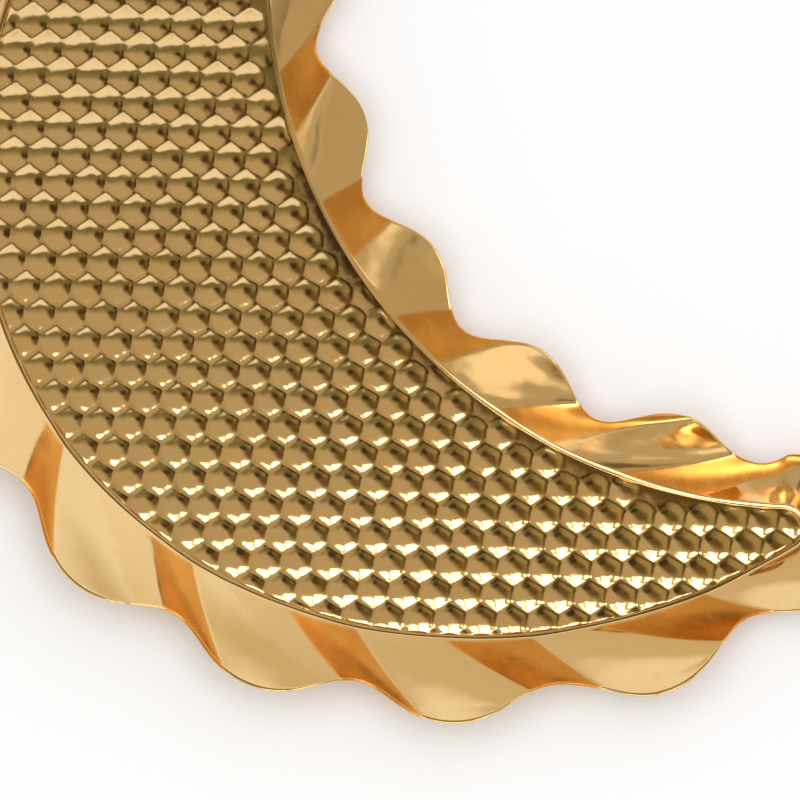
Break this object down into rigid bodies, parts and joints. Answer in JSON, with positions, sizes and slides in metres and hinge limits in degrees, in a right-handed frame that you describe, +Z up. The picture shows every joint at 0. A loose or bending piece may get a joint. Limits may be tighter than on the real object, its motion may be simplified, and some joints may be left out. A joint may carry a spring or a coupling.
{
  "type": "crescent serving tray",
  "caption": "Crescent-shaped polished brass serving tray with a honeycomb-embossed floor, a diagonally fluted scalloped wall and small rubber bumpers underneath.",
  "frame": {"origin": "centre of the footprint, on the table", "axes": "+X from the back of the crescent towards its horns, +Y from horn to horn, +Z up"},
  "size_m": [0.1993, 0.2965, 0.0194],
  "materials": {
    "floor_brass": "polished, lightly lacquered, embossed",
    "wall_brass": "mirror polished",
    "bumper_rubber": "matte"
  },
  "bodies": {
    "root": {"embossed_floor": "floor_brass", "back_wall": "wall_brass", "notch_wall": "wall_brass", "bumper_back": "bumper_rubber", "bumper_side_right": "bumper_rubber", "bumper_side_left": "bumper_rubber", "bumper_horn_right": "bumper_rubber", "bumper_horn_left": "bumper_rubber"}
  },
  "joints": []
}
